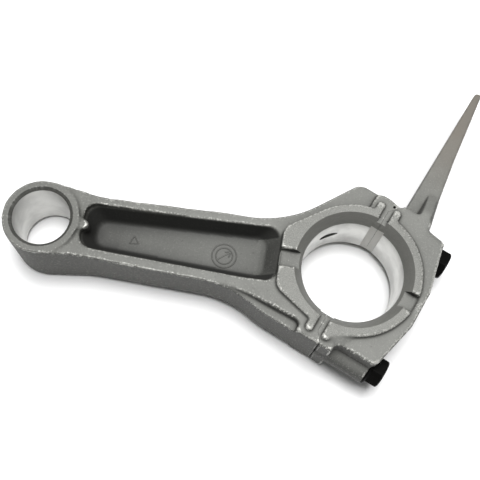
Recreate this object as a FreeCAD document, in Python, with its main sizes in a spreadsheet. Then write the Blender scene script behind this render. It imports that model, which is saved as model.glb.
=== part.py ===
"""Connecting rod with a bolted big-end cap and a cast oil dipper. Millimetres.

Origin: big-end bore axis at mid-thickness. X runs from the small end to the big end, Z along the
bores. The cap joint is tilted by split_angle: n is the bolt direction, t runs along the joint.
"""
import FreeCAD, Part
import math
import os
import Sketcher
from FreeCAD import Placement, Rotation, Vector

SIZES = [
    # overall
    ("centre_distance", 110.0), ("split_angle", 22.5),
    # small end
    ("small_bore_diameter", 20.0), ("small_bore_length", 24.0), ("small_bevel_diameter", 22.2),
    ("small_end_diameter", 26.8), ("small_end_width", 26.0),
    # big end
    ("big_bore_diameter", 36.0), ("big_bore_length", 19.5), ("thrust_width", 27.7),
    ("bevel_diameter", 41.9), ("thrust_diameter", 48.0), ("thrust_flat_reach", 26.1),
    ("thrust_flank_angle", 55.0), ("web_width", 24.9), ("groove_depth", 2.7),
    ("groove_width", 6.2), ("relief_half_width", 2.6), ("relief_depth", 0.35),
    # cap joint
    ("channel_half_width", 1.8), ("channel_reach", 33), ("finger_width", 3.0),
    ("finger_reach", 27.3), ("step_inner", 25.5), ("step_outer", 28.5), ("step_height", 2.5),
    # bolts and their bosses
    ("bolt_spacing", 47.0), ("thread_diameter", 8.0), ("thread_clearance", 0.05),
    ("cap_hole_clearance", 0.2), ("thread_depth", 15.0), ("bolt_reach", 13.0),
    ("boss_diameter", 13.0), ("seat_height", 21.5), ("dipper_seat_rise", 0.9),
    ("flange_diameter", 12.6), ("flange_height", 1.4), ("head_width", 9.8), ("head_height", 5.8),
    ("head_turn", 48.0), ("spot_clearance", 0.7),
    # shank of the rod
    ("shank_width", 18.4), ("upper_half_neck", 11.6), ("lower_half_neck", 11.2),
    ("upper_half_root", 14.3), ("lower_half_root", 12.1), ("neck_distance", 93.0),
    ("root_distance", 47.0), ("pocket_web", 5.0), ("upper_flange", 3.0), ("lower_flange", 3.7),
    ("pocket_slope", 3.2), ("pocket_corner", 4.2), ("pocket_near", 26.2), ("pocket_far", 95.6),
    ("ramp_start", 47.0), ("ramp_end", 27.0),
    # stub beside the small end
    ("nub_reach", 93.3), ("nub_width", 3.6), ("nub_height", 12.4),
    # shoulders
    ("upper_side", 30.8), ("lower_side", 29.3), ("upper_peak", 13.6), ("peak_side", 31.3),
    ("upper_slope", 60.5),
    ("lower_bend", 20.0), ("lower_slope", 8.7), ("pad_start", 6.4), ("pad_end", 7.4),
    ("pad_edge", 1.0), ("web_edge", 25.7),
    # cap
    ("crown_height", 26.5), ("crown_half_width", 7.0), ("flank_height", 22.7),
    ("flank_half_width", 24.0), ("lip_height", 22.9), ("root_rise", 5.6), ("lip_edge", 1.9),
    # dipper
    ("dipper_reach", 94.9), ("dipper_left", 5.2), ("dipper_root_right", 16.1),
    ("dipper_tip_right", 8.5), ("dipper_root_half", 7.5), ("dipper_tip_half", 1.9),
    ("dipper_tip_round", 1.3), ("spine_left", 9.8), ("spine_crest", 33.2), ("spine_reach", 54),
    # oil hole
    ("oil_hole_diameter", 3.6), ("oil_hole_offset", 15.3),
]

doc = FreeCAD.newDocument("connecting_rod")
sheet = doc.addObject("Spreadsheet::Sheet", "Sizes")
for row, (alias, number) in enumerate(SIZES, start=1):
    sheet.set(f"A{row}", alias)
    sheet.set(f"B{row}", str(number))
    sheet.setAlias(f"B{row}", alias)
doc.recompute()


# ---------------------------------------------------------------- expressions
def full(expression):
    """Expression with every size's alias written in full, for use outside the sheet."""
    words = []
    word = ""
    for letter in expression + " ":
        if letter.isalnum() or letter == "_":
            word += letter
            continue
        words.append(f"Sizes.{word}" if word in ALIASES else word)
        words.append(letter)
        word = ""
    return "".join(words).strip()


ALIASES = {alias for alias, number in SIZES}


def value(expression):
    """Number that an expression has with the sheet's present sizes."""
    return float(sheet.evalExpression(full(expression)))


# ---------------------------------------------------------------- sketches
def origin_plane(body, role):
    return next(f for f in body.Origin.OriginFeatures if f.Role == role)


def new_sketch(body, name, role="XY_Plane", turned=False, level="0"):
    """Empty sketch on a body's origin plane, turned about Z to the cap joint when turned is set.

    On XY_Plane a turned sketch has n across and t up; on YZ_Plane t across and Z up.
    """
    sketch = body.newObject("Sketcher::SketchObject", name)
    sketch.AttachmentSupport = [(origin_plane(body, role), "")]
    sketch.MapMode = "FlatFace"
    spin = Vector(0, 0, -1) if role == "XY_Plane" else Vector(0, -1, 0)
    angle = value("split_angle") if turned else 0
    sketch.AttachmentOffset = Placement(Vector(0, 0, value(level)), Rotation(spin, angle))
    if turned:
        sketch.setExpression("AttachmentOffset.Rotation.Angle", full("split_angle * 1 deg"))
    if level != "0":
        sketch.setExpression("AttachmentOffset.Base.z", full(level))
    return sketch


def hold(sketch, kind, first, second, expression):
    """Dimension of a sketch, bound to an expression."""
    number = sketch.addConstraint(Sketcher.Constraint(kind, *first, *second, value(expression)))
    sketch.setExpression(f"Constraints[{number}]", full(expression))


def hold_point(sketch, geometry, end, point):
    """Holds a point at a place given by two expressions, measured from the sketch's origin."""
    for kind, axis, expression in zip(("DistanceX", "DistanceY"), (-2, -1), point):
        if expression == "0":
            sketch.addConstraint(Sketcher.Constraint("PointOnObject", geometry, end, axis))
        else:
            hold(sketch, kind, (-1, 1), (geometry, end), expression)


def outline(sketch, points):
    """Closed outline of straight sides through points given as pairs of expressions."""
    places = [Vector(value(x), value(y), 0) for x, y in points]
    first = sketch.GeometryCount
    count = len(places)
    for i in range(count):
        sketch.addGeometry(Part.LineSegment(places[i], places[(i + 1) % count]), False)
    for i in range(count):
        following = first + (i + 1) % count
        sketch.addConstraint(Sketcher.Constraint("Coincident", first + i, 2, following, 1))
    for i, point in enumerate(points):
        hold_point(sketch, first + i, 1, point)
    return sketch


def rounded_outline(sketch, points, radius):
    """Closed outline whose corners are all rounded to one radius.

    The sharp outline is drawn as construction lines, and the sides lie along it.
    """
    corners = [Vector(value(x), value(y), 0) for x, y in points]
    count = len(corners)
    first = sketch.GeometryCount
    outline(sketch, points)
    for i in range(count):
        sketch.setConstruction(first + i, True)
    leave, arrive = [], []
    for i, corner in enumerate(corners):
        back = (corners[i - 1] - corner).normalize()
        ahead = (corners[(i + 1) % count] - corner).normalize()
        length = value(radius) / math.tan(back.getAngle(ahead) / 2)
        arrive.append(corner + back * length)
        leave.append(corner + ahead * length)
    sides = [sketch.addGeometry(Part.LineSegment(leave[i], arrive[(i + 1) % count]), False)
             for i in range(count)]
    for i, side in enumerate(sides):
        for end in (1, 2):
            sketch.addConstraint(Sketcher.Constraint("PointOnObject", side, end, first + i))
    for i, corner in enumerate(corners):
        middle = (arrive[i] + leave[i]) * 0.5
        inward = (middle - corner).normalize()
        centre = corner + inward * math.hypot(value(radius), (arrive[i] - corner).Length)
        crown = centre - inward * value(radius)
        arc = sketch.addGeometry(Part.ArcOfCircle(arrive[i], crown, leave[i]), False)
        ends = (1, 2) if same_place(sketch.getPoint(arc, 1), arrive[i]) else (2, 1)
        sketch.addConstraint(Sketcher.Constraint("Tangent", sides[i - 1], 2, arc, ends[0]))
        sketch.addConstraint(Sketcher.Constraint("Tangent", sides[i], 1, arc, ends[1]))
        hold(sketch, "Radius", (arc,), (), radius)
    return sketch


def same_place(one, other):
    return (one - other).Length < 1e-6


def circle(sketch, centre, radius):
    place = Vector(value(centre[0]), value(centre[1]), 0)
    ring = sketch.addGeometry(Part.Circle(place, Vector(0, 0, 1), value(radius)), False)
    hold_point(sketch, ring, 3, centre)
    hold(sketch, "Radius", (ring,), (), radius)
    return sketch


def axis_line(sketch, start, end):
    """Construction line that a revolved feature turns about."""
    places = [Vector(value(x), value(y), 0) for x, y in (start, end)]
    line = sketch.addGeometry(Part.LineSegment(*places), True)
    hold_point(sketch, line, 1, start)
    hold_point(sketch, line, 2, end)
    return sketch


# ---------------------------------------------------------------- features
def finish_feature(feature):
    doc.recompute()
    if feature.Shape.isNull() or not feature.isValid():
        raise RuntimeError(f"{feature.Label} failed: {feature.State}")
    return feature


def pad(body, name, sketch, length):
    """Pad of a total length, half to each side of the sketch."""
    feature = body.newObject("PartDesign::Pad", name)
    feature.Profile = sketch
    feature.SideType = "Symmetric"
    feature.Length = value(length)
    feature.setExpression("Length", full(length))
    return finish_feature(feature)


def pocket(body, name, sketch, side="Symmetric", reverse=False):
    """Cut right through, or on one side of the sketch's plane."""
    feature = body.newObject("PartDesign::Pocket", name)
    feature.Profile = sketch
    feature.Type = "ThroughAll"
    feature.SideType = side
    feature.Reversed = reverse
    return finish_feature(feature)


def turn(body, name, sketch, kind):
    """Full turn of a sketch about its construction line: kind is Revolution or Groove."""
    feature = body.newObject(f"PartDesign::{kind}", name)
    feature.Profile = sketch
    feature.ReferenceAxis = (sketch, ["Axis0"])
    feature.Angle = 360
    return finish_feature(feature)


def round_edges(body, name, radius, chosen, kind="Fillet"):
    """Fillet or chamfer of the edges that chosen accepts."""
    base = body.Tip
    edges = [f"Edge{i}" for i, edge in enumerate(base.Shape.Edges, start=1) if chosen(edge)]
    if not edges:
        raise RuntimeError(f"{name}: no edges found")
    feature = body.newObject(f"PartDesign::{kind}", name)
    feature.Base = (base, edges)
    size = "Radius" if kind == "Fillet" else "Size"
    setattr(feature, size, value(radius))
    feature.setExpression(size, full(radius))
    return finish_feature(feature)


def upright_at(points, reach=0.6):
    """Chooses the edges along Z that stand at any of the given places."""
    def chosen(edge):
        ends = [v.Point for v in edge.Vertexes]
        if len(ends) != 2 or math.dist(ends[0][:2], ends[1][:2]) > 0.01:
            return False
        return any(math.dist(ends[0][:2], place) < reach for place in points)
    return chosen


def cut_faces(body, name, outlines, level, turned=False):
    """Cuts both faces of a body down to a height above mid-thickness, inside the outlines."""
    for side, sign, reverse in (("Front", "", True), ("Back", "-", False)):
        sketch = new_sketch(body, f"{name}{side}Sketch", turned=turned, level=f"{sign}({level})")
        for points in outlines:
            outline(sketch, points)
        pocket(body, name + side, sketch, "One side", reverse)


def joint_place(n, t):
    """Global X and Y of a place given along the bolts and along the joint."""
    a = math.radians(value("split_angle"))
    return (n * math.cos(a) + t * math.sin(a), -n * math.sin(a) + t * math.cos(a))


def joint_frame(point):
    """A global point's distances along the bolts and along the joint."""
    a = math.radians(value("split_angle"))
    return (point.x * math.cos(a) - point.y * math.sin(a),
            point.x * math.sin(a) + point.y * math.cos(a))


def line_crossing(first, second, third, fourth):
    """Where the line through the first two places meets the line through the last two."""
    (ax, ay), (bx, by), (cx, cy), (dx, dy) = first, second, third, fourth
    bottom = (ax - bx) * (cy - dy) - (ay - by) * (cx - dx)
    along = ((ax - cx) * (cy - dy) - (ay - cy) * (cx - dx)) / bottom
    return (ax + along * (bx - ax), ay + along * (by - ay))


# ---------------------------------------------------------------- shared shapes
FAR = "60"      # beyond every face that a cut has to clear
BOLT_SIDES = (("Upper", ""), ("Lower", "-"))


def joint_step(side):
    """The cap joint from one end to the other, closed beyond the piece on one side.

    The joint is flat through the bore axis and rises on a ramp to a step at both ends, which
    keeps the cap from sliding along it.
    """
    lower = [("step_height", f"-{FAR}"), ("step_height", "-step_outer"), ("0", "-step_inner")]
    upper = [("0", "step_inner"), ("step_height", "step_outer"), ("step_height", FAR)]
    return lower + upper + [(side + FAR, FAR), (side + FAR, f"-{FAR}")]


def thrust_faces(body):
    """Raised ring that the crank cheeks run against, with the fingers beside the joint."""
    ring = circle(new_sketch(body, "ThrustRingSketch"), ("0", "0"), "thrust_diameter / 2")
    pad(body, "ThrustRing", ring, "thrust_width")
    inner = "(channel_half_width - 0.2)"
    for name, sign in BOLT_SIDES:
        for part, side in (("Rod", "-"), ("Cap", "")):
            label = f"Finger{part}{name}"
            sketch = new_sketch(body, label + "Sketch", turned=True)
            outer = f"{side}({inner} + finger_width)"
            outline(sketch, [(f"{side}{inner}", f"{sign}big_bore_diameter / 2"),
                             (f"{side}{inner}", f"{sign}finger_reach"),
                             (outer, f"{sign}finger_reach"),
                             (outer, f"{sign}big_bore_diameter / 2")])
            pad(body, label, sketch, "thrust_width")
            ends = [joint_place(value(n), value(f"{sign}finger_reach"))
                    for n in (f"{side}{inner}", outer)]
            round_edges(body, label + "End", "finger_width * 0.45", upright_at(ends, 0.05))


def big_end_cuts(body, groove_side):
    """Oil groove, joint channel and the bevelled big-end bore."""
    floor = "thrust_width / 2 - groove_depth"
    half = "groove_width / 2"
    turned = groove_side == ""
    reach = "thrust_diameter / 2" if turned else "thrust_flat_reach"
    groove = [("0", f"-{half}"), (f"{groove_side}{reach}", f"-{half}"),
              (f"{groove_side}{reach}", half), ("0", half)]
    cut_faces(body, "OilGroove", [groove], floor, turned)
    width = "channel_half_width"
    channel = [(f"-{width}", "-channel_reach"), (width, "-channel_reach"),
               (width, "channel_reach"), (f"-{width}", "channel_reach")]
    cut_faces(body, "JointChannel", [channel], "web_width / 2", True)
    bore = new_sketch(body, "BigBoreSketch", "XZ_Plane")
    slope = "(bevel_diameter - big_bore_diameter) / (thrust_width - big_bore_length)"
    wide = f"big_bore_diameter / 2 + {slope} * (20 - big_bore_length / 2)"
    rim = "big_bore_length / 2"
    outline(bore, [("0", "-20"), (wide, "-20"), ("big_bore_diameter / 2", f"-{rim}"),
                   ("big_bore_diameter / 2", rim), (wide, "20"), ("0", "20")])
    axis_line(bore, ("0", "-20"), ("0", "20"))
    turn(body, "BigBore", bore, "Groove")
    relief = new_sketch(body, "BoreReliefSketch", turned=True)
    deep = "(big_bore_diameter / 2 + relief_depth)"
    outline(relief, [("-relief_half_width", f"-{deep}"), ("relief_half_width", f"-{deep}"),
                     ("relief_half_width", deep), ("-relief_half_width", deep)])
    pocket(body, "BoreRelief", relief)


def bolt_profile(body, name, sign, points, kind):
    """Turned feature about a bolt's axis: points are (n, radius) pairs of expressions."""
    sketch = new_sketch(body, name + "Sketch", turned=True)
    axis = f"{sign}bolt_spacing / 2"
    outline(sketch, [(n, f"{axis} {'-' if sign else '+'} ({radius})") for n, radius in points])
    axis_line(sketch, (points[0][0], axis), (points[-1][0], axis))
    turn(body, name, sketch, kind)


# ---------------------------------------------------------------- connecting rod
def make_rod():
    body = doc.addObject("PartDesign::Body", "connecting_rod")
    body.Label = "connecting_rod"
    add_shank(body)
    add_shoulders(body)
    add_web(body)
    thrust_faces(body)
    add_thrust_flat(body)
    cut_shank_pockets(body)
    add_nub(body)
    big_end_cuts(body, "-")
    cut_small_end(body)
    for name, sign in BOLT_SIDES:
        drill = "thread_diameter / 2 + thread_clearance"
        cone = "(thread_diameter / 2)"
        bolt_profile(body, f"BoltThread{name}", sign,
                     [(f"-thread_depth - {cone} * 0.6", "0"), ("-thread_depth", drill),
                      (FAR, drill), (FAR, "0")], "Groove")
    oil_hole(body)
    cap_side = outline(new_sketch(body, "JointSketch", turned=True), joint_step(""))
    pocket(body, "Joint", cap_side)
    return body


def shank_corners():
    """Corners of the shank's outline: the neck by the small end and the root by the big end."""
    tangent = "(centre_distance - small_end_diameter * 0.08)"
    edge = "small_end_diameter * 0.494"
    return {
        "small_upper": (f"-{tangent}", edge), "neck_upper": ("-neck_distance", "upper_half_neck"),
        "root_upper": ("-root_distance", "upper_half_root"),
        "small_lower": (f"-{tangent}", f"-{edge}"),
        "neck_lower": ("-neck_distance", "-lower_half_neck"),
        "root_lower": ("-root_distance + 10", "-lower_half_root"),
    }


def add_shank(body):
    """Shank and small-end ring; the shank's faces step down from the ring in a long curve."""
    at = shank_corners()
    inside = "-big_bore_diameter * 0.25"
    points = [at["small_upper"], at["neck_upper"], at["root_upper"], (inside, "upper_half_root"),
              (inside, "-lower_half_root"), at["root_lower"], at["neck_lower"], at["small_lower"]]
    pad(body, "Shank", outline(new_sketch(body, "ShankSketch"), points), "small_end_width")
    ends = [tuple(value(e) for e in at[k]) for k in ("neck_upper", "neck_lower")]
    round_edges(body, "NeckCurve", "60", upright_at(ends, 0.05))
    half = "shank_width / 2"
    for name, sign in (("Front", ""), ("Back", "-")):
        sketch = new_sketch(body, f"Shank{name}FaceSketch", "XZ_Plane")
        steps = [("centre_distance + 5", "small_end_width / 2 - 0.2"),
                 ("centre_distance - 7", "small_end_width / 2 - 0.4"),
                 ("centre_distance - 12.5", "small_end_width / 2 - 0.9"),
                 ("centre_distance - 17", f"{half} + 1.8"), ("centre_distance - 23", f"{half} + 1.1"),
                 ("centre_distance - 34", f"{half} + 0.6"), ("root_distance", half), ("-1", half)]
        points = [(f"-({x})", f"{sign}({z})") for x, z in steps]
        outline(sketch, points + [("1", f"{sign}20"), ("-centre_distance - 5", f"{sign}20")])
        pocket(body, f"Shank{name}Face", sketch)
    ring = circle(new_sketch(body, "SmallEndSketch"), ("-centre_distance", "0"),
                  "small_end_diameter / 2")
    pad(body, "SmallEnd", ring, "small_end_width")


def shoulder_lines():
    """Corners of the two shoulders, along the bolts and along the joint."""
    run = "38"
    top = ("-upper_peak", "peak_side")
    inside = (f"-upper_peak - {run} * cos(upper_slope * 1 deg)",
              f"peak_side - {run} * sin(upper_slope * 1 deg)")
    bend = ("-lower_bend", "-lower_side")
    start = ("-lower_bend - 18 * cos(lower_slope * 1 deg)",
             "-lower_side + 18 * sin(lower_slope * 1 deg)")
    return top, inside, start, bend


def add_shoulders(body):
    """Plate behind the big end that holds both bolt threads, blended into the shank."""
    top, inside, start, bend = shoulder_lines()
    points = [top, inside, start, bend, ("10", "-lower_side"), ("10", "upper_side")]
    sketch = outline(new_sketch(body, "ShouldersSketch", turned=True), points)
    pad(body, "Shoulders", sketch, "shank_width")
    corner = {k: tuple(value(e) for e in p) for k, p in shank_corners().items()}
    place = {k: joint_place(value(p[0]), value(p[1]))
             for k, p in (("top", top), ("inside", inside), ("start", start), ("bend", bend))}
    level = (corner["root_upper"][0] + 1, corner["root_upper"][1])
    upper = line_crossing(corner["root_upper"], level, place["top"], place["inside"])
    lower = line_crossing(corner["neck_lower"], corner["root_lower"], place["start"],
                          place["bend"])
    round_edges(body, "ShoulderPeak", "5", upright_at([place["top"]], 0.05))
    round_edges(body, "UpperCrotch", "40", upright_at([upper]))
    round_edges(body, "LowerCrotch", "38", upright_at([lower], 1.0))
    round_edges(body, "LowerBend", "30", upright_at([place["bend"]], 0.05))


def add_web(body):
    """Thicker web: a strip below the thrust face, the pads at the joint and a ramp to the shank."""
    sketch = new_sketch(body, "WebSketch", turned=True)
    run = "(ramp_start * cos(split_angle * 1 deg))"
    outline(sketch, [("-pad_start", "0"), ("-pad_start", "-web_edge"),
                     ("-pad_start - 19", "-web_edge - 0.9"), (f"-{run}", "-web_edge - 3"),
                     (f"-{run}", "-12"), ("-25", "-8")])
    pad(body, "Web", sketch, "web_width")
    for name, sign in (("Front", ""), ("Back", "-")):
        ramp = new_sketch(body, f"Ramp{name}Sketch", "XZ_Plane")
        low = f"{sign}shank_width / 2"
        high = f"{sign}web_width / 2"
        outline(ramp, [("-root_distance * 1.3", low), ("-ramp_start", low), ("-ramp_end", high),
                       ("-root_distance * 1.3", high)])
        pocket(body, f"Ramp{name}", ramp)
    joint_pads(body, "-pad_start", "10")
    corner = joint_place(-value("pad_start"), -value("web_edge"))
    round_edges(body, "WebCorner", "2", upright_at([corner], 0.1))


def joint_pads(body, start, end):
    """Full-width pads on both sides of the joint, with their outer edges rounded."""
    upper = [(start, "0"), (end, "0"), (end, "upper_side - 2.6"),
             ("step_height", "upper_side - 1.1"), ("-1.5", "upper_side - 0.2"),
             ("-4", "upper_side - 0.2"), (start, "upper_side - 0.9")]
    lower = [(start, "0"), (end, "0"), (end, "-lower_side"), (start, "-lower_side")]
    for name, points in (("Upper", upper), ("Lower", lower)):
        sketch = outline(new_sketch(body, f"Pad{name}Sketch", turned=True), points)
        pad(body, f"Pad{name}", sketch, "web_width")
        side = value(points[-2][1])

        def at_side(edge):
            ends = [joint_frame(v.Point)[1] / side for v in edge.Vertexes]
            level = [abs(v.Point.z) - value("web_width / 2") for v in edge.Vertexes]
            return len(ends) == 2 and min(ends) > 0.97 and max(map(abs, level)) < 0.01
        round_edges(body, f"Pad{name}Edge", "pad_edge", at_side)


def add_thrust_flat(body):
    """Straight edge of the thrust face beside the shank, tangent to the ring."""
    radius = "thrust_diameter / 2"
    turn_in = "thrust_flank_angle * 1 deg"
    corner = f"({radius} - thrust_flat_reach * cos({turn_in})) / sin({turn_in})"
    touch = (f"-{radius} * cos({turn_in})", f"{radius} * sin({turn_in})")
    sketch = new_sketch(body, "ThrustFlatSketch")
    outline(sketch, [touch, ("-thrust_flat_reach", corner), ("-thrust_flat_reach", f"-({corner})"),
                     (touch[0], f"-{touch[1]}")])
    pad(body, "ThrustFlat", sketch, "thrust_width")
    ends = [(-value("thrust_flat_reach"), s * value(corner)) for s in (1, -1)]
    round_edges(body, "ThrustFlatCorner", "5", upright_at(ends, 0.05))


def cut_shank_pockets(body):
    """Hollow in each face of the shank that leaves the I section."""
    grow = "pocket_slope"
    for name, sign in (("Front", ""), ("Back", "-")):
        sections = []
        for number, (height, inset, end) in enumerate((("pocket_web / 2", "1.1", "2.1"),
                                                       ("pocket_web / 2 + 0.8", "0.86", "1.45"),
                                                       ("shank_width / 2 + 0.3", "0", "0"),
                                                       ("20", "0", "0"))):
            sketch = new_sketch(body, f"Hollow{name}{number}Sketch", level=f"{sign}({height})")
            step = f"{grow} * {inset}"
            far = f"-(pocket_far - {grow} * {inset} * 1.25)"
            near = f"-(pocket_near + {grow} * {end})"
            corners = [(far, f"upper_half_neck - upper_flange - {step}"),
                       (near, f"upper_half_root - upper_flange - {step} + 0.9"),
                       (near, f"-(lower_half_root - lower_flange - {step} + 0.5)"),
                       (far, f"-(lower_half_neck - lower_flange - {step})")]
            rounded_outline(sketch, corners, "pocket_corner")
            sections.append(sketch)
        feature = body.newObject("PartDesign::SubtractiveLoft", f"Hollow{name}")
        feature.Profile = sections[0]
        feature.Sections = sections[1:]
        feature.Ruled = True
        finish_feature(feature)


def add_nub(body):
    """Half-round stub on the small end's wall, inside the near end of each hollow."""
    half = "nub_width / 2"
    middle = f"-(nub_reach + {half})"
    inside = "-(centre_distance - small_bore_diameter / 2)"
    sketch = new_sketch(body, "NubSketch")
    outline(sketch, [(inside, f"-{half}"), (middle, f"-{half}"), (middle, half), (inside, half)])
    pad(body, "Nub", sketch, "nub_height * 2")
    end = circle(new_sketch(body, "NubEndSketch"), (middle, "0"), half)
    pad(body, "NubEnd", end, "nub_height * 2")


def cut_small_end(body):
    sketch = new_sketch(body, "SmallBoreSketch", "XZ_Plane")
    slope = "(small_bevel_diameter - small_bore_diameter) / (small_end_width - small_bore_length)"
    rim = "small_bore_length / 2"
    centre = "-centre_distance"
    inner = f"{centre} + small_bore_diameter / 2"
    wide = f"{inner} + {slope} * (20 - {rim})"
    outline(sketch, [(centre, "-20"), (wide, "-20"), (inner, f"-{rim}"), (inner, rim),
                     (wide, "20"), (centre, "20")])
    axis_line(sketch, (centre, "-20"), (centre, "20"))
    turn(body, "SmallBore", sketch, "Groove")


def oil_hole(body):
    """Hole drilled from the crotch above the shank into the big-end bore."""
    sketch = new_sketch(body, "OilHoleSketch")
    low = "oil_hole_offset"
    high = f"{low} + oil_hole_diameter / 2"
    outline(sketch, [("-50", low), ("0", low), ("0", high), ("-50", high)])
    axis_line(sketch, ("-50", low), ("0", low))
    turn(body, "OilHole", sketch, "Groove")


# ---------------------------------------------------------------- bearing cap
def make_cap():
    body = doc.addObject("PartDesign::Body", "bearing_cap")
    body.Label = "bearing_cap"
    add_cap_web(body)
    seats = {"Upper": "seat_height + dipper_seat_rise", "Lower": "seat_height"}
    for name, sign in BOLT_SIDES:
        bolt_profile(body, f"BoltBoss{name}", sign,
                     [("-5", "0"), ("-5", "boss_diameter / 2"),
                      (seats[name], "boss_diameter / 2"), (seats[name], "0")], "Revolution")
    thrust_faces(body)
    add_ring_blend(body)
    add_dipper(body)
    big_end_cuts(body, "")
    for name, sign in BOLT_SIDES:
        spot = "flange_diameter / 2 + spot_clearance"
        bolt_profile(body, f"BoltSeat{name}", sign,
                     [(seats[name], "0"), (seats[name], spot), (FAR, spot), (FAR, "0")],
                     "Groove")
        drill = "thread_diameter / 2 + cap_hole_clearance"
        bolt_profile(body, f"BoltHole{name}", sign,
                     [(f"-{FAR}", "0"), (f"-{FAR}", drill), (FAR, drill), (FAR, "0")], "Groove")
    rod_side = outline(new_sketch(body, "JointSketch", turned=True), joint_step("-"))
    pocket(body, "Joint", rod_side)
    return body


def add_cap_web(body):
    """The cap's body: crown, two flanks down to the bolt seats, and the pad at the joint."""
    sketch = new_sketch(body, "CapWebSketch", turned=True)
    rise = "web_edge + root_rise"
    corner = ("lip_height - 1.5", "web_edge + 0.9")
    root = ("dipper_root_right - 0.5", "web_edge + 1.9")
    outline(sketch, [("-5", "-lower_side"), ("pad_end", "-lower_side"), ("pad_end", "-web_edge"),
                     ("seat_height - 0.3", "-web_edge"), ("flank_height", "-flank_half_width"),
                     ("crown_height", "-crown_half_width"), ("crown_height", "crown_half_width"),
                     ("lip_height", "flank_half_width - 0.2"),
                     ("lip_height - 0.1", "web_edge - 0.3"), corner, root,
                     ("dipper_root_right - 1.1", "web_edge + 5.2"),
                     ("spine_left", f"{rise} + 1.8"), ("spine_left - 1.2", rise),
                     ("dipper_left + 1.6", f"{rise} - 0.1"), ("dipper_left - 0.2", f"{rise} + 0.2"),
                     ("dipper_left - 1.2", f"{rise} - 0.9"),
                     ("step_height + 0.6", "lower_side + 0.1"), ("-5", "lower_side + 0.5")])
    pad(body, "CapWeb", sketch, "web_width")
    ends = [joint_place(value("pad_end"), -value("web_edge"))]
    round_edges(body, "RecessCorner", "2", upright_at(ends, 0.05))
    places = [joint_place(*(value(v) for v in point)) for point in (corner, root)]

    def at_lip(edge):
        """Edge of either face from the dipper's root to the corner above the bolt seat."""
        ends = [v.Point for v in edge.Vertexes]
        return len(ends) == 2 and abs(ends[0].z - ends[1].z) < 0.01 and all(
            min(math.dist(p[:2], place) for p in ends) < 0.05 for place in places)
    round_edges(body, "LipEdge", "lip_edge", at_lip)


def add_ring_blend(body):
    """Slope that carries the thrust ring over into the web beside the lower joint."""
    for name, sign in (("Front", ""), ("Back", "-")):
        foot = new_sketch(body, f"Blend{name}FootSketch", turned=True,
                          level=f"{sign}(web_width / 2)")
        outline(foot, [("channel_half_width + 2", "-20"),
                       ("channel_half_width + 2", "-finger_reach + 0.2"),
                       ("9", "-finger_reach + 0.8"), ("12.5", "-20.6"), ("11", "-20")])
        top = new_sketch(body, f"Blend{name}TopSketch", turned=True,
                         level=f"{sign}(thrust_width / 2)")
        outline(top, [("channel_half_width + 2", "-20"), ("channel_half_width + 2", "-24.6"),
                      ("5.2", "-24.3"), ("8.6", "-22.2"), ("9", "-20")])
        feature = body.newObject("PartDesign::AdditiveLoft", f"Blend{name}")
        feature.Profile = foot
        feature.Sections = [top]
        feature.Ruled = True
        finish_feature(feature)


def add_dipper(body):
    """Tapered finger along t that throws oil, with a spine on its outer side."""
    sketch = new_sketch(body, "DipperSketch", turned=True)
    tip_left = "dipper_left + 0.8"
    outline(sketch, [("dipper_left - 3", "bolt_spacing / 2 - 2"), ("dipper_left - 3", "web_edge + 4.3"),
                     ("dipper_left - 1.1", "web_edge + 5.5"), ("dipper_left", "web_edge + 8.3"),
                     (tip_left, "dipper_reach"), ("dipper_tip_right", "dipper_reach"),
                     ("dipper_tip_right * 0.55 + dipper_root_right * 0.45 - 0.3", "62"),
                     ("dipper_tip_right * 0.2 + dipper_root_right * 0.8 - 0.6", "43"),
                     ("dipper_root_right", "upper_side"), ("dipper_root_right", "bolt_spacing / 2 - 2")])
    pad(body, "Dipper", sketch, "dipper_root_half * 2")
    ends = [joint_place(value(n), value("dipper_reach")) for n in (tip_left, "dipper_tip_right")]
    round_edges(body, "DipperTip", "dipper_tip_round", upright_at(ends, 0.05))
    for name, sign in (("Front", ""), ("Back", "-")):
        taper = new_sketch(body, f"Dipper{name}TaperSketch", "YZ_Plane", turned=True)
        outline(taper, [("upper_side", f"{sign}dipper_root_half"),
                        ("dipper_reach + 2", f"{sign}dipper_tip_half"),
                        ("dipper_reach + 2", f"{sign}20"), ("upper_side", f"{sign}20")])
        pocket(body, f"Dipper{name}Taper", taper)
    low = "(bolt_spacing / 2)"
    for name, sign in (("Front", ""), ("Back", "-")):
        foot = new_sketch(body, f"Spine{name}FootSketch", turned=True)
        outline(foot, [("spine_left - 2.6", low), ("dipper_root_right - 0.2", low),
                       ("dipper_root_right - 4", "spine_reach"),
                       ("spine_left - 0.6", "spine_reach")])
        crest = new_sketch(body, f"Spine{name}CrestSketch", turned=True,
                           level=f"{sign}(web_width / 2)")
        outline(crest, [("spine_left + 0.4", low), ("dipper_root_right - 1", low),
                        ("dipper_root_right - 1.9", "spine_crest"),
                        ("spine_left + 0.5", "spine_crest")])
        feature = body.newObject("PartDesign::AdditiveLoft", f"Spine{name}")
        feature.Profile = foot
        feature.Sections = [crest]
        feature.Ruled = True
        finish_feature(feature)


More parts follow.
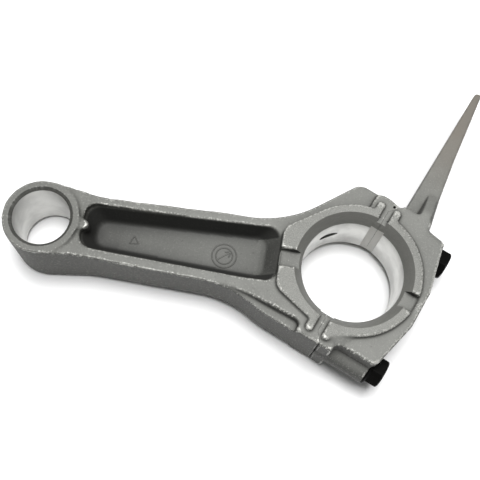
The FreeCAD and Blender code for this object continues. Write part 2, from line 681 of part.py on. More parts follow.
# ---------------------------------------------------------------- bolts
def make_bolt(label, sign, rise):
    """Flange bolt along its own X axis, put on its axis through the cap and the rod."""
    body = doc.addObject("PartDesign::Body", label)
    body.Label = label
    shank = "thread_diameter / 2"
    flange_top = "seat_height + flange_height"
    sketch = new_sketch(body, "BoltSketch", "XZ_Plane")
    outline(sketch, [("-bolt_reach", "0"), ("-bolt_reach", f"{shank} - 0.9"),
                     ("-bolt_reach + 0.9", shank), ("seat_height", shank),
                     ("seat_height", "flange_diameter / 2"),
                     ("seat_height + 0.5", "flange_diameter / 2"),
                     (flange_top, "head_width / 2"), (flange_top, "0")])
    axis_line(sketch, ("-bolt_reach", "0"), (flange_top, "0"))
    turn(body, "BoltShank", sketch, "Revolution")
    hexagon = new_sketch(body, "HexSketch", "YZ_Plane", level="seat_height + head_height / 2")
    corner = "head_width / sqrt(3)"
    turns = [f"(head_turn + {60 * i}) * 1 deg" for i in range(6)]
    outline(hexagon, [(f"{corner} * cos({turn})", f"{corner} * sin({turn})") for turn in turns])
    pad(body, "Hex", hexagon, "head_height - 0.6")
    end = "seat_height + head_height - 0.3"
    bevel = new_sketch(body, "HeadBevelSketch", "XZ_Plane")
    outline(bevel, [(end, "head_width * 0.47"), (end, "head_width"),
                    (f"{end} - head_width * 0.3", "head_width")])
    axis_line(bevel, ("-bolt_reach", "0"), (end, "0"))
    turn(body, "HeadBevel", bevel, "Groove")
    along = f"{'-' if sign < 0 else ''}bolt_spacing / 2"
    body.Placement = Placement(Vector(0, 0, 0), Rotation(Vector(0, 0, -1), value("split_angle")))
    body.setExpression("Placement.Rotation.Angle", full("split_angle * 1 deg"))
    across, up = "sin(split_angle * 1 deg)", "cos(split_angle * 1 deg)"
    body.setExpression("Placement.Base.x", full(f"{along} * {across} + {rise} * {up}"))
    body.setExpression("Placement.Base.y", full(f"{along} * {up} - {rise} * {across}"))
    return body


rod = make_rod()
cap = make_cap()
bolts = [make_bolt("bolt_dipper_side", 1, "dipper_seat_rise"),
         make_bolt("bolt_plain_side", -1, "0")]
doc.recompute()

for item in doc.Objects:
    if "Invalid" in item.State or "Error" in item.State:
        raise RuntimeError(f"{item.Label}: {item.State}")
os.makedirs("parts", exist_ok=True)
for body in [rod, cap] + bolts:
    shape = body.Shape
    if shape.isNull() or not shape.isValid() or len(shape.Solids) != 1:
        raise RuntimeError(f"{body.Label} is not one valid solid")
    shape.exportStep(f"parts/{body.Label}.step")
    print(body.Label, round(shape.Volume), shape.BoundBox)
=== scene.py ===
"""Looks of a small-engine connecting rod: soft cast alloy, machined bores and black cap bolts."""
import math

import bmesh
import bpy
import numpy as np
from mathutils import Matrix, Vector


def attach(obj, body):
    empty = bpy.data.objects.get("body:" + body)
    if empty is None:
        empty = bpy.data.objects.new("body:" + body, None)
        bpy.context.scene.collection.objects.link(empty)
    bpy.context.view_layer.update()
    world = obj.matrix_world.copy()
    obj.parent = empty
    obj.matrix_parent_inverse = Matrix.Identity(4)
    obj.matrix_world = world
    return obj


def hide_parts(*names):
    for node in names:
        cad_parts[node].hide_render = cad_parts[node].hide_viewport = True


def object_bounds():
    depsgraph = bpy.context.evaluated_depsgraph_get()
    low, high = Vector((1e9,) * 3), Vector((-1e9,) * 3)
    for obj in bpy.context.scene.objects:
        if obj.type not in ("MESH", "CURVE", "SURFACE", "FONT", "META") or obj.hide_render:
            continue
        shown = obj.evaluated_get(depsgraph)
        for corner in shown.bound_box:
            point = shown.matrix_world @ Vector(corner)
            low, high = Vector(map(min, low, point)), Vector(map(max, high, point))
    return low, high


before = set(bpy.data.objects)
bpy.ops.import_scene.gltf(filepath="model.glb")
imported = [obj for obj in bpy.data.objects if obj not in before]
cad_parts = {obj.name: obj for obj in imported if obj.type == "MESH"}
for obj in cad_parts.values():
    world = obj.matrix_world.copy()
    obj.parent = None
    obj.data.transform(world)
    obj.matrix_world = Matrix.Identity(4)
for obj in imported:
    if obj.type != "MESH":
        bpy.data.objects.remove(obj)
cad_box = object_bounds()

MM = 0.001
TILT = math.radians(22.5)
BOLT_WAY = Vector((math.cos(TILT), -math.sin(TILT), 0))
JOINT_WAY = Vector((math.sin(TILT), math.cos(TILT), 0))

# Sizes in millimetres. Heights are from the middle of the part's thickness.
CENTRES = 110
BIG_RADIUS, BIG_RIM, BIG_MOUTH = 18, 9.75, 20.95
SMALL_RADIUS, SMALL_RIM, SMALL_MOUTH = 10, 12, 12.1
THRUST_HEIGHT = 13.85
CLEAR_HEIGHT = 20
GROOVE_HALF, GROOVE_FLOOR = 3.1, 11.15
CHANNEL_HALF, CHANNEL_FLOOR, CHANNEL_REACH = 1.8, 12.45, 22
RELIEF_HALF, RELIEF_RADIUS = 2.6, 18.35
FACE_CLEAR = 16
JOINT_STEP = 2.5
HOLLOW_FLOOR = 2.5
HOLLOW_FAR, HOLLOW_NEAR = -91.2, -33.0
OIL_HOLE_RADIUS, OIL_HOLE_SIDE = 1.8, 15.3
BOLT_ROWS = (23.5, -23.5)
BOLT_HOLE_RADIUS, THREAD_HOLE_RADIUS = 4.2, 4.05
SEAT_RISE = 0.9
HEAD_ACROSS = 9.8
HEAD_TURN = math.radians(48)
CRISP = math.radians(38)
BOLT_CRISP = math.radians(30)


# ---------------------------------------------------------------- finishes
class Value:
    """A shader socket that can be written into sums and products."""

    def __init__(self, tree, socket):
        self.tree = tree
        self.socket = socket

    def maths(self, operation, *others, flip=False, clamp=False):
        """Adds a Math node; flip puts this value last."""
        node = self.tree.nodes.new("ShaderNodeMath")
        node.operation = operation
        node.use_clamp = clamp
        values = [self, *others]
        if flip:
            values.reverse()
        for slot, value in zip(node.inputs, values):
            if isinstance(value, Value):
                self.tree.links.new(value.socket, slot)
            else:
                slot.default_value = value
        return Value(self.tree, node.outputs[0])

    def __add__(self, other):
        return self.maths("ADD", other)

    def __radd__(self, other):
        return self.maths("ADD", other, flip=True)

    def __sub__(self, other):
        return self.maths("SUBTRACT", other)

    def __rsub__(self, other):
        return self.maths("SUBTRACT", other, flip=True)

    def __mul__(self, other):
        return self.maths("MULTIPLY", other)

    def __rmul__(self, other):
        return self.maths("MULTIPLY", other, flip=True)

    def clipped(self):
        """The value held between 0 and 1."""
        return self.maths("ADD", 0.0, clamp=True)


class Finish:
    """A material whose nodes are added one at a time."""

    def __init__(self, name):
        self.material = bpy.data.materials.new(name)
        self.material.use_nodes = True
        self.tree = self.material.node_tree
        self.skin = self.tree.nodes["Principled BSDF"]
        self.place = self.node("TexCoord")["Object"]

    def node(self, kind, settings=None, **inputs):
        """Adds a node, sets its settings, then feeds its sockets; gives back its outputs."""
        node = self.tree.nodes.new("ShaderNode" + kind)
        for name, value in (settings or {}).items():
            setattr(node, name, value)
        for name, value in inputs.items():
            self.feed(node.inputs[name.replace("_", " ")], value)
        return {out.name: Value(self.tree, out) for out in node.outputs}

    def feed(self, slot, value):
        if isinstance(value, Value):
            self.tree.links.new(value.socket, slot)
        else:
            slot.default_value = value

    def set(self, **inputs):
        """Feeds sockets of the surface shader."""
        for name, value in inputs.items():
            self.feed(self.skin.inputs[name.replace("_", " ")], value)

    def noise(self, per_mm, detail=3.0, roughness=0.55, place=None):
        """Noise between 0 and 1, with about per_mm features to a millimetre."""
        made = self.node("TexNoise", Vector=place or self.place, Scale=per_mm / MM, Detail=detail,
                         Roughness=roughness, Distortion=0.0)
        return made["Fac"] if "Fac" in made else made["Factor"]

    def step(self, value, low, high):
        """0 below low, 1 above high, smooth between."""
        return self.node("MapRange", {"interpolation_type": "SMOOTHSTEP"}, Value=value,
                         From_Min=low, From_Max=high)["Result"]

    def blend(self, factor, first, second):
        """Mixes two colours."""
        node = self.tree.nodes.new("ShaderNodeMix")
        node.data_type = "RGBA"
        self.feed(node.inputs[0], factor)
        for slot, value in ((node.inputs[6], first), (node.inputs[7], second)):
            self.feed(slot, value if isinstance(value, Value) else (*value, 1))
        return Value(self.tree, node.outputs[2])

    def bump(self, height, depth_mm, under=None):
        """Relief from a height, on top of the relief under it."""
        inputs = {"Height": height, "Strength": 1.0, "Distance": depth_mm * MM}
        if under is not None:
            inputs["Normal"] = under
        return self.node("Bump", **inputs)["Normal"]


# Dark grey for painted shade in hollows and creases.
PAINTED_SHADE_GREY = (0.024, 0.024, 0.021)


def cast_finish():
    """Shot-blasted casting: mottled grey, with painted shade on its sides, towards the small end, in
    its hollows and in its creases; edges rubbed bright, partly as painted highlight, and crests
    rubbed bright.
    """
    made = Finish("cast alloy")
    worn_and_highlit = made.node("Attribute", {"attribute_name": "worn_and_highlit"})["Fac"]
    # Painted shade for the shank's hollows, stored by shade_hollows.
    deep = made.node("Attribute", {"attribute_name": "deep"})["Fac"]
    spot = made.node("SeparateXYZ", Vector=made.place)
    facing = made.node("SeparateXYZ", Vector=made.node("TexCoord")["Normal"])["Z"]
    flat = made.step(facing.maths("ABSOLUTE"), 0.35, 0.95)
    speck = made.noise(1.7, 4.0, 0.7)
    glint = made.noise(3.1, 2.0, 0.6)
    cloud = made.noise(0.05, 4.0, 0.6)
    pits = made.noise(0.75, 5.0, 0.7)
    crest = made.step(spot["Z"].maths("ABSOLUTE"), 13.6 * MM, 13.8 * MM)
    base = made.blend(made.step(cloud, 0.3, 0.7), (0.158, 0.160, 0.148), (0.190, 0.192, 0.178))
    # Painted shade: sloping and upright faces are darkened, standing in for light that falls mostly
    # from above.
    base = made.blend((1 - flat) * 0.82, base, (0.034, 0.034, 0.030))
    # Painted shade: darker towards the small end, standing in for light that falls off towards it.
    base = made.blend((1 - made.step(spot["X"], -112 * MM, -38 * MM)) * 0.36, base,
                      (0.066, 0.066, 0.059))
    base = made.blend(made.step(speck, 0.52, 0.68) * 0.55, base, (0.27, 0.27, 0.25))
    base = made.blend(made.step(pits, 0.42, 0.28) * 0.5, base, (0.08, 0.08, 0.073))
    base = made.blend(crest * made.step(glint, 0.40, 0.70) * 0.5, base, (0.34, 0.34, 0.315))
    # Rubbed wear and painted highlight: edges that stand out are lightened.
    rubbed_and_highlit = made.step(worn_and_highlit + (speck - 0.5) * 1.4 + (glint - 0.5) * 0.8, 0.45, 0.85)
    base = made.blend(rubbed_and_highlit * 0.85, base, (0.46, 0.46, 0.43))
    along = spot["X"] * math.sin(TILT) + spot["Y"] * math.cos(TILT)
    patch = made.noise(0.09, 3.0, 0.6)
    baked = made.step(along, 36 * MM, 74 * MM) * (0.35 + patch * 0.7)
    base = made.blend(baked, base, (0.165, 0.146, 0.122))
    # Painted shade: occlusion darkens hollows widely and creases narrowly.
    nook_shade = made.node("AmbientOcclusion", {"samples": 8, "only_local": True}, Distance=15 * MM)["AO"]
    crease_shade = made.node("AmbientOcclusion", {"samples": 8, "only_local": True},
                       Distance=1.6 * MM)["AO"]
    base = made.blend(((1 - nook_shade) * 1.1).clipped() * 0.8, base, PAINTED_SHADE_GREY)
    # Painted shade: the stored deep amount darkens the shank's hollows.
    base = made.blend(deep, base, (0.010, 0.010, 0.009))
    base = made.blend((1 - made.step(crease_shade, 0.45, 0.97)) * 0.8, base, PAINTED_SHADE_GREY)
    made.set(Base_Color=base, Metallic=0.25, Roughness=0.66 - rubbed_and_highlit * 0.22)
    fine = made.bump(speck, 0.025)
    made.set(Normal=made.bump(pits, 0.07, fine))
    return made.material


def stretched(made, across, up):
    """Noise drawn out around upright walls, as a boring bar leaves it."""
    lines = made.node("Mapping", Vector=made.place, Scale=(across, across, up))["Vector"]
    return made.noise(1.0, 3.0, 0.6, lines)


def bore_finish():
    """Bright bored walls with faint lines around them and a few dull stains."""
    made = Finish("bored alloy")
    lines = stretched(made, 0.25, 6.0)
    stain = made.noise(0.12, 3.0)
    base = made.blend(made.step(stain, 0.35, 0.7), (0.62, 0.62, 0.60), (0.48, 0.48, 0.465))
    made.set(Base_Color=base, Metallic=0.75, Roughness=0.30 + lines * 0.2)
    made.set(Normal=made.bump(lines, 0.012))
    return made.material


def milled_finish(name, dark, light):
    """Machined alloy between two greys, with fine lines and bright specks."""
    made = Finish(name)
    lines = stretched(made, 0.5, 3.0)
    speck = made.noise(2.0, 3.0, 0.6)
    base = made.blend(lines, dark, light)
    base = made.blend(made.step(speck, 0.58, 0.75) * 0.4, base, (0.30, 0.30, 0.28))
    made.set(Base_Color=base, Metallic=0.3, Roughness=0.52, Normal=made.bump(lines, 0.015))
    return made.material


def bolt_finish():
    """Blackened steel, a little lighter where it is rubbed and where edges get a painted highlight.
    """
    made = Finish("black bolt steel")
    worn_and_highlit = made.node("Attribute", {"attribute_name": "worn_and_highlit"})["Fac"]
    wear = made.noise(0.8, 4.0)
    # Rubbed wear and painted highlight: edges that stand out are a little lighter.
    rubbed_and_highlit = made.step(worn_and_highlit + (wear - 0.5) * 0.8, 0.5, 0.9)
    base = made.blend(wear, (0.0015, 0.0015, 0.0014), (0.0055, 0.0055, 0.0050))
    made.set(Base_Color=made.blend(rubbed_and_highlit * 0.5, base, (0.03, 0.03, 0.029)), Metallic=0.0,
             Specular_IOR_Level=0.04, Roughness=0.5, Normal=made.bump(wear, 0.02))
    return made.material


CAST = cast_finish()
BORED = bore_finish()
MILLED = milled_finish("milled alloy", (0.155, 0.155, 0.142), (0.215, 0.215, 0.199))
RELIEVED = milled_finish("relieved alloy", (0.41, 0.405, 0.38), (0.51, 0.505, 0.475))
COUNTERSUNK = milled_finish("countersunk alloy", (0.055, 0.055, 0.050), (0.090, 0.090, 0.082))
BLACK = bolt_finish()


def dress(obj, *finishes):
    """Gives an object these materials and no others."""
    obj.data.materials.clear()
    for finish in finishes:
        obj.data.materials.append(finish)


# ---------------------------------------------------------------- shaping
def at_joint(out, side, z=0.0):
    """Place given in millimetres along the bolts, along the joint and up."""
    return (BOLT_WAY * out + JOINT_WAY * side + Vector((0, 0, z))) * MM


def at_row(x, y, z=0.0):
    """Place given in millimetres along the shank, across it and up."""
    return Vector((x, y, z)) * MM


def finished(bm, name):
    """Object of a closed mesh, with its faces turned outwards."""
    bmesh.ops.remove_doubles(bm, verts=bm.verts, dist=0.002 * MM)
    bmesh.ops.recalc_face_normals(bm, faces=bm.faces)
    mesh = bpy.data.meshes.new(name)
    bm.to_mesh(mesh)
    bm.free()
    obj = bpy.data.objects.new(name, mesh)
    bpy.context.scene.collection.objects.link(obj)
    return obj


def block(outline, low, high, place=at_joint):
    """Upright block over an outline, from one height to another."""
    bm = bmesh.new()
    foot = bm.faces.new([bm.verts.new(place(a, b, low)) for a, b in outline])
    grown = bmesh.ops.extrude_face_region(bm, geom=[foot])["geom"]
    top = [g for g in grown if isinstance(g, bmesh.types.BMVert)]
    bmesh.ops.translate(bm, verts=top, vec=(0, 0, (high - low) * MM))
    return finished(bm, "block")


def round_body(profile, centre, way, steps=128):
    """Solid turned about an axis from pairs of distance along it and radius."""
    way = Vector(way).normalized()
    out = Vector((0, 0, 1)) if abs(way.z) < 0.5 else Vector((1, 0, 0))
    bm = bmesh.new()
    points = [bm.verts.new(Vector(centre) + (way * along + out * radius) * MM)
              for along, radius in profile]
    edges = [bm.edges.new(pair) for pair in zip(points, points[1:])]
    bmesh.ops.spin(bm, geom=points + edges, cent=centre, axis=way, angle=2 * math.pi,
                   steps=steps, use_merge=True)
    return finished(bm, "round body")


def settle(obj):
    """Makes an object's modifiers part of its mesh."""
    graph = bpy.context.evaluated_depsgraph_get()
    mesh = bpy.data.meshes.new_from_object(obj.evaluated_get(graph))
    obj.modifiers.clear()
    obj.data = mesh


def work(obj, way, *tools):
    """Cuts an object with tools or joins them to it; the tools are used up."""
    for tool in tools:
        step = obj.modifiers.new("step", "BOOLEAN")
        step.operation = way
        step.object = tool
        step.solver = "MANIFOLD"
        settle(obj)
        bpy.data.objects.remove(tool)


def bore_tool(radius, rim, mouth, centre):
    """Boring tool, straight up to the rim height, with a cone as wide as the mouth at the face."""
    wide = radius + (mouth - radius) * (CLEAR_HEIGHT - rim) / (THRUST_HEIGHT - rim)
    profile = [(-CLEAR_HEIGHT, 0), (-CLEAR_HEIGHT, wide), (-rim, radius), (rim, radius),
               (CLEAR_HEIGHT, wide), (CLEAR_HEIGHT, 0)]
    return round_body(profile, centre, (0, 0, 1), 192)


def strip(start, end, half):
    """Corners of a straight strip from start to end, as wide as twice the half."""
    return [(start, -half), (end, -half), (end, half), (start, half)]


def plug(radius, low, high, centre, way=(0, 0, 1)):
    """Plain cylinder from low to high along its axis."""
    return round_body([(low, 0), (low, radius), (high, radius), (high, 0)], centre, way, 96)


def casting():
    """Rod and cap in one soft-edged piece, with every bore and groove still to be machined."""
    bm = bmesh.new()
    for name in ("connecting_rod", "bearing_cap"):
        bm.from_mesh(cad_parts[name].data)
    bmesh.ops.remove_doubles(bm, verts=bm.verts, dist=0.001 * MM)
    fillers = [plug(20.9, -THRUST_HEIGHT, THRUST_HEIGHT, (0, 0, 0)),
               plug(11.05, -12.95, 12.95, at_row(-CENTRES, 0))]
    fillers += [round_body([(-17.6, 0), (-15.2, 4.3), (21.5, 4.3), (21.5, 0)],
                           at_joint(0, row), BOLT_WAY) for row in BOLT_ROWS]
    for filler in fillers:
        bm.from_mesh(filler.data)
        bpy.data.objects.remove(filler)
    mesh = bpy.data.meshes.new("casting")
    bm.to_mesh(mesh)
    bm.free()
    obj = bpy.data.objects.new("casting", mesh)
    bpy.context.scene.collection.objects.link(obj)
    skin = obj.modifiers.new("skin", "REMESH")
    skin.mode = "VOXEL"
    skin.voxel_size = 0.5 * MM
    soften = obj.modifiers.new("soften", "SMOOTH")
    soften.factor = 0.5
    soften.iterations = 4
    settle(obj)
    return obj


def machine(obj):
    """Bores, bevels, oil grooves and the channels beside the joint."""
    work(obj, "DIFFERENCE",
         bore_tool(BIG_RADIUS, BIG_RIM, BIG_MOUTH, (0, 0, 0)),
         bore_tool(SMALL_RADIUS, SMALL_RIM, SMALL_MOUTH, at_row(-CENTRES, 0)))
    for low, high in ((GROOVE_FLOOR, FACE_CLEAR), (-FACE_CLEAR, -GROOVE_FLOOR)):
        work(obj, "DIFFERENCE",
             block(strip(-22.5, 0, GROOVE_HALF), low, high, at_row),
             block(strip(22.3, 0, GROOVE_HALF), low, high))
    for low, high in ((CHANNEL_FLOOR, FACE_CLEAR), (-FACE_CLEAR, -CHANNEL_FLOOR)):
        work(obj, "DIFFERENCE",
             block(strip(-CHANNEL_HALF, CHANNEL_HALF, CHANNEL_REACH), low, high))
    work(obj, "DIFFERENCE",
         block(strip(-RELIEF_HALF, RELIEF_HALF, RELIEF_RADIUS), -FACE_CLEAR, FACE_CLEAR))


def split(obj, keep):
    """The part of the casting on one side of the joint: -1 for the rod, 1 for the cap."""
    gap = 0.05 * keep
    raised = JOINT_STEP + gap
    far, away = 150, -keep * 200
    line = [(raised, -far), (raised, -28.5), (gap, -25.5), (gap, 25.5), (raised, 28.5),
            (raised, far)]
    piece = bpy.data.objects.new("piece", obj.data.copy())
    bpy.context.scene.collection.objects.link(piece)
    work(piece, "DIFFERENCE",
         block(line + [(away, far), (away, -far)], -CLEAR_HEIGHT, CLEAR_HEIGHT))
    return piece


def joint_nicks(obj):
    """Notch where the joint comes out at each side wall, and the pinhole beside the dipper."""
    half = 0.4
    for wall, deep in ((-29.3, 0.55), (30.1, 0.5)):
        diamond = [(JOINT_STEP - half, wall), (JOINT_STEP, wall + deep),
                   (JOINT_STEP + half, wall), (JOINT_STEP, wall - deep)]
        work(obj, "DIFFERENCE", block(diamond, -CLEAR_HEIGHT, CLEAR_HEIGHT))
    work(obj, "DIFFERENCE", plug(0.5, 10, FACE_CLEAR, at_joint(1.1, 28.2)))


def cast_marks(obj):
    """Small foundry marks on the floor of the hollow: a triangle, and an arrow in two rings."""
    rib, size = 0.2, 1.9
    corners = [at_row(-78 + size * math.cos(angle), 0.1 + size * math.sin(angle))
               for angle in (math.radians(degrees) for degrees in (100, 220, 340))]
    ribs = list(zip(corners, corners[1:] + corners[:1]))
    ribs += [(at_row(-47.6, -1.6), at_row(-43.2, 2.0)), (at_row(-43.2, 2.0), at_row(-45.2, 1.7)),
             (at_row(-43.2, 2.0), at_row(-43.6, 0.0))]
    for start, end in ribs:
        way = end - start
        length = way.length / MM
        foot = start + Vector((0, 0, HOLLOW_FLOOR * MM))
        work(obj, "UNION", round_body([(0, 0), (0, rib), (length, rib), (length, 0)], foot, way, 12))
    for radius in (4.4, 3.0):
        work(obj, "UNION", torus(at_row(-45.3, 0.2, HOLLOW_FLOOR), radius, rib))


def torus(centre, radius, thickness):
    """Thin ring of round section, lying flat."""
    bm = bmesh.new()
    made = bmesh.ops.create_circle(bm, segments=12, radius=thickness * MM)
    bmesh.ops.rotate(bm, verts=made["verts"], cent=(0, 0, 0),
                     matrix=Matrix.Rotation(math.pi / 2, 3, "X"))
    bmesh.ops.translate(bm, verts=made["verts"], vec=centre + at_row(radius, 0))
    bmesh.ops.spin(bm, geom=bm.verts[:] + bm.edges[:], cent=centre, axis=(0, 0, 1),
                   angle=2 * math.pi, steps=72, use_merge=True)
    return finished(bm, "torus")


def wear_and_highlight_edges(obj):
    """Stores on each vertex how far it stands out from its neighbours, for rubbed wear and painted
    highlight on edges.

    Low walls and the dipper are rubbed and highlit less.
    """
    flank_height, dipper_start = 3.2, 30
    mesh = obj.data
    count = len(mesh.vertices)
    place = np.empty(count * 3)
    mesh.vertices.foreach_get("co", place)
    place = place.reshape(-1, 3)
    normal = np.empty(count * 3)
    mesh.vertices.foreach_get("normal", normal)
    normal = normal.reshape(-1, 3)
    pairs = np.empty(len(mesh.edges) * 2, int)
    mesh.edges.foreach_get("vertices", pairs)
    a, b = pairs.reshape(-1, 2).T
    step = place[b] - place[a]
    length = np.linalg.norm(step, axis=1) + 1e-9
    out = np.zeros(count)
    number = np.zeros(count)
    np.add.at(out, a, -(step * normal[a]).sum(1) / length)
    np.add.at(out, b, (step * normal[b]).sum(1) / length)
    np.add.at(number, a, 1)
    np.add.at(number, b, 1)
    out /= np.maximum(number, 1)
    for _ in range(3):
        total = out.copy()
        np.add.at(total, a, out[b])
        np.add.at(total, b, out[a])
        out = total / (number + 1)
    sharp = np.zeros(len(mesh.edges), bool)
    mesh.set_sharp_from_angle(angle=CRISP)
    if "sharp_edge" in mesh.attributes:
        mesh.attributes["sharp_edge"].data.foreach_get("value", sharp)
    out[a[sharp]] = 0
    out[b[sharp]] = 0
    out[np.abs(place[:, 2]) < flank_height * MM] *= 0.3
    out[place @ JOINT_WAY > dipper_start * MM] *= 0.25
    stored = mesh.attributes.new("worn_and_highlit", "FLOAT", "POINT")
    stored.data.foreach_set("value", np.clip(out * 8, 0, 1).astype(np.float32))


def shade_hollows(obj):
    """Stores on each vertex how much painted shade darkens the shank's hollows.

    The painted shade is darkest on the walls, and on the floor it clears up away from them.
    """
    mesh = obj.data
    place = np.empty(len(mesh.vertices) * 3)
    mesh.vertices.foreach_get("co", place)
    x, y, z = place.reshape(-1, 3).T / MM
    along = np.clip((x - HOLLOW_FAR) / (HOLLOW_NEAR - HOLLOW_FAR), 0, 1)
    upper = 5.1 + 3.6 * along
    lower = -4.0 - 1.4 * along
    side = np.minimum(upper - y, y - lower)
    inside = np.minimum(side, x - HOLLOW_FAR)
    reach = 1.2 + 3.0 * (1 - along) ** 3
    near_low = y - lower < upper - y
    depth = np.where(near_low & (x > HOLLOW_FAR + 8), 0.40, 0.55)
    dark = 0.30 + depth * np.exp(-np.maximum(inside, 0) / reach)
    dark[inside < 0.3] = 0.87
    dark[(x > HOLLOW_NEAR - 1) & (side > 0.3)] = 0.30
    height = np.abs(z)
    dark *= np.clip((9.1 - height) / 0.8, 0, 1)
    dark[(x < HOLLOW_FAR - 6) | (x > HOLLOW_NEAR + 7) | (side < -4.6)] = 0
    stored = mesh.attributes.new("deep", "FLOAT", "POINT")
    stored.data.foreach_set("value", dark.astype(np.float32))


def mark_faces(obj):
    """Gives bored walls, their relief bands and the bevels their machined finishes."""
    dress(obj, CAST, BORED, MILLED, RELIEVED, COUNTERSUNK)
    cast, bored, milled, relieved, countersunk = range(5)
    for face in obj.data.polygons:
        x, y, z = face.center / MM
        big = math.hypot(x, y)
        small = math.hypot(x + CENTRES, y)
        upright = abs(face.normal.z) < 0.3
        relief = abs(face.center.dot(BOLT_WAY)) < 2.59 * MM and 18.05 < big < 18.7
        face.material_index = cast
        if relief:
            face.material_index = relieved
        elif upright and (big < BIG_RADIUS + 0.1 or small < SMALL_RADIUS + 0.1):
            face.material_index = bored
        elif abs(face.normal.z) < 0.97 and big < 20.97:
            face.material_index = milled
        elif abs(face.normal.z) < 0.97 and small < 11.3:
            face.material_index = countersunk


def cast_pieces():
    """Machines the casting, splits it at the joint and drills each half."""
    whole = casting()
    machine(whole)
    cast_marks(whole)
    joint_nicks(whole)
    rod = split(whole, -1)
    cap = split(whole, 1)
    bpy.data.objects.remove(whole)
    drill = [(-17.4, 0), (-15, THREAD_HOLE_RADIUS), (10, THREAD_HOLE_RADIUS), (10, 0)]
    for row in BOLT_ROWS:
        work(rod, "DIFFERENCE", round_body(drill, at_joint(0, row), BOLT_WAY))
        work(cap, "DIFFERENCE", plug(BOLT_HOLE_RADIUS, -10, 30, at_joint(0, row), BOLT_WAY))
    work(rod, "DIFFERENCE", plug(OIL_HOLE_RADIUS, -50, 0, at_row(0, OIL_HOLE_SIDE), (1, 0, 0)))
    for piece, name, body, node in ((rod, "rod_casting", "rod", "connecting_rod"),
                                    (cap, "cap_casting", "cap", "bearing_cap")):
        piece.name = name
        wear_and_highlight_edges(piece)
        shade_hollows(piece)
        mark_faces(piece)
        piece.data.shade_smooth()
        piece.data.set_sharp_from_angle(angle=CRISP)
        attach(piece, body)
        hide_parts(node)


def screw_thread(start, end, pitch=1.25, steps=48):
    """Rolled thread along X between two places: one ridge turned forward turn after turn."""
    core, crest = 3.28, 3.98
    bm = bmesh.new()
    ridge = [(0, core), (0.14, core), (0.48, crest), (0.68, crest), (1.02, core), (pitch, core)]
    points = [bm.verts.new(Vector((start - pitch + along, 0, radius)) * MM)
              for along, radius in ridge]
    edges = [bm.edges.new(pair) for pair in zip(points, points[1:])]
    turns = math.ceil((end - start) / pitch) + 1
    bmesh.ops.spin(bm, geom=points + edges, cent=(0, 0, 0), axis=(1, 0, 0),
                   dvec=(pitch / steps * MM, 0, 0), angle=2 * math.pi * turns,
                   steps=steps * turns)
    bmesh.ops.remove_doubles(bm, verts=bm.verts, dist=0.002 * MM)
    for place, way in ((start, -1), (end, 1)):
        bmesh.ops.bisect_plane(bm, geom=bm.verts[:] + bm.edges[:] + bm.faces[:], dist=1e-7,
                               plane_co=(place * MM, 0, 0), plane_no=(way, 0, 0),
                               clear_outer=True)
        rim = [e for e in bm.edges if e.is_boundary
               and all(abs(v.co.x - place * MM) < 1e-6 for v in e.verts)]
        bmesh.ops.edgeloop_fill(bm, edges=rim)
    return finished(bm, "thread")


def hexagon(start, end, across):
    """Six-sided head along X with its long edges softened."""
    bm = bmesh.new()
    radius = across / math.sqrt(3) * MM
    made = bmesh.ops.create_cone(bm, cap_ends=True, segments=6, radius1=radius, radius2=radius,
                                 depth=(end - start) * MM)["verts"]
    bmesh.ops.rotate(bm, verts=made, cent=(0, 0, 0), matrix=Matrix.Rotation(math.pi / 2, 3, "Y"))
    bmesh.ops.rotate(bm, verts=made, cent=(0, 0, 0), matrix=Matrix.Rotation(HEAD_TURN, 3, "X"))
    rim = [e for e in bm.edges if abs(e.verts[0].co.x - e.verts[1].co.x) > 1e-6]
    bmesh.ops.bevel(bm, geom=rim, offset=0.22 * MM, affect="EDGES", segments=3, profile=0.5,
                    material=-1)
    bmesh.ops.translate(bm, verts=bm.verts, vec=((start + end) / 2 * MM, 0, 0))
    return finished(bm, "hexagon")


def bolt(name, body, node, side, rise):
    """Flange bolt: chamfered hexagon, dished flange, plain shank and thread."""
    way = (1, 0, 0)
    obj = hexagon(22.4, 27.0, HEAD_ACROSS)
    work(obj, "INTERSECT", round_body([(20, 0), (20, 5.9), (25.9, 5.9), (26.55, 5.25), (27, 4.6),
                                       (27.02, 0)], (0, 0, 0), way, 96))
    work(obj, "DIFFERENCE", round_body([(26.5, 0), (26.55, 2.6), (27.2, 3.3), (27.2, 0)],
                                       (0, 0, 0), way, 64))
    flange = [(21.5, 0), (21.5, 6.1), (21.65, 6.3), (22.0, 6.28), (22.25, 6.05), (22.5, 5.6),
              (22.8, 5.2), (23.2, 4.95), (23.6, 4.85), (23.6, 0)]
    shank = [(-13, 0), (-13, 2.7), (-12.3, 3.3), (7.6, 3.3), (8.2, 3.95), (22, 3.95), (22, 0)]
    work(obj, "UNION", round_body(flange, (0, 0, 0), way, 96),
         round_body(shank, (0, 0, 0), way, 96))
    work(obj, "UNION", screw_thread(-12.1, 7.9))
    place = Matrix.Translation(at_joint(rise, side)) @ Matrix.Rotation(-TILT, 4, "Z")
    obj.data.transform(place)
    obj.name = name
    wear_and_highlight_edges(obj)
    dress(obj, BLACK)
    obj.data.shade_smooth()
    obj.data.set_sharp_from_angle(angle=BOLT_CRISP)
    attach(obj, body)
    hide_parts(node)


cast_pieces()
bolt("dipper_side_bolt", "dipper_bolt", "bolt_dipper_side", BOLT_ROWS[0], SEAT_RISE)
bolt("plain_side_bolt", "plain_bolt", "bolt_plain_side", BOLT_ROWS[1], 0)


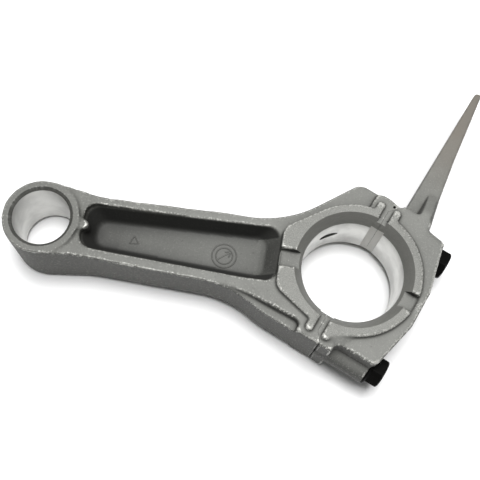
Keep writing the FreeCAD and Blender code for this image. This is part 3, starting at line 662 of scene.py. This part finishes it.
# ---------------------------------------------------------------- floor, lights and camera
def plain_floor():
    """Pale floor just below the part."""
    bm = bmesh.new()
    bmesh.ops.create_grid(bm, x_segments=1, y_segments=1, size=3.0)
    bmesh.ops.translate(bm, verts=bm.verts, vec=(0, 0, cad_box[0].z - 0.02 * MM))
    mesh = bpy.data.meshes.new("floor")
    bm.to_mesh(mesh)
    bm.free()
    floor = bpy.data.objects.new("floor", mesh)
    bpy.context.scene.collection.objects.link(floor)
    made = Finish("pale floor")
    made.set(Base_Color=(0.92, 0.92, 0.92, 1), Roughness=0.9)
    dress(floor, made.material)


def softbox(name, place, aim, size, power):
    """Rectangular lamp that faces a point."""
    lamp = bpy.data.lights.new(name, "AREA")
    lamp.shape = "RECTANGLE"
    lamp.size, lamp.size_y = size
    lamp.energy = power
    obj = bpy.data.objects.new(name, lamp)
    obj.location = place
    obj.rotation_mode = "QUATERNION"
    obj.rotation_quaternion = (Vector(aim) - Vector(place)).to_track_quat("-Z", "Y")
    bpy.context.scene.collection.objects.link(obj)


def studio_camera():
    """Camera above the front of the part, looking down at it."""
    data = bpy.data.cameras.new("camera")
    data.sensor_width = 36
    data.lens = 55.7
    data.clip_start = 0.01
    camera = bpy.data.objects.new("camera", data)
    back = Vector((0.00754, -0.33847, 0.94095))
    up = Vector((-0.16674, 0.92738, 0.33492))
    side = up.cross(back).normalized()
    turn = Matrix((side, back.cross(side), back)).transposed().to_4x4()
    camera.matrix_world = Matrix.Translation((-0.03863, -0.08368, 0.25526)) @ turn
    bpy.context.scene.collection.objects.link(camera)
    bpy.context.scene.camera = camera


plain_floor()
studio_camera()
softbox("top light", (-0.04, 0.12, 1.5), (-0.04, 0, 0), (0.7, 0.7), 32)
softbox("far light", (-0.3, 0.9, 0.5), (-0.04, 0, 0), (0.5, 0.5), 1.2)
world = bpy.data.worlds.new("room")
bpy.context.scene.world = world
world.use_nodes = True
world.node_tree.nodes["Background"].inputs["Color"].default_value = (1, 1, 1, 1)
world.node_tree.nodes["Background"].inputs["Strength"].default_value = 0.16
bpy.context.scene.view_settings.view_transform = "Standard"
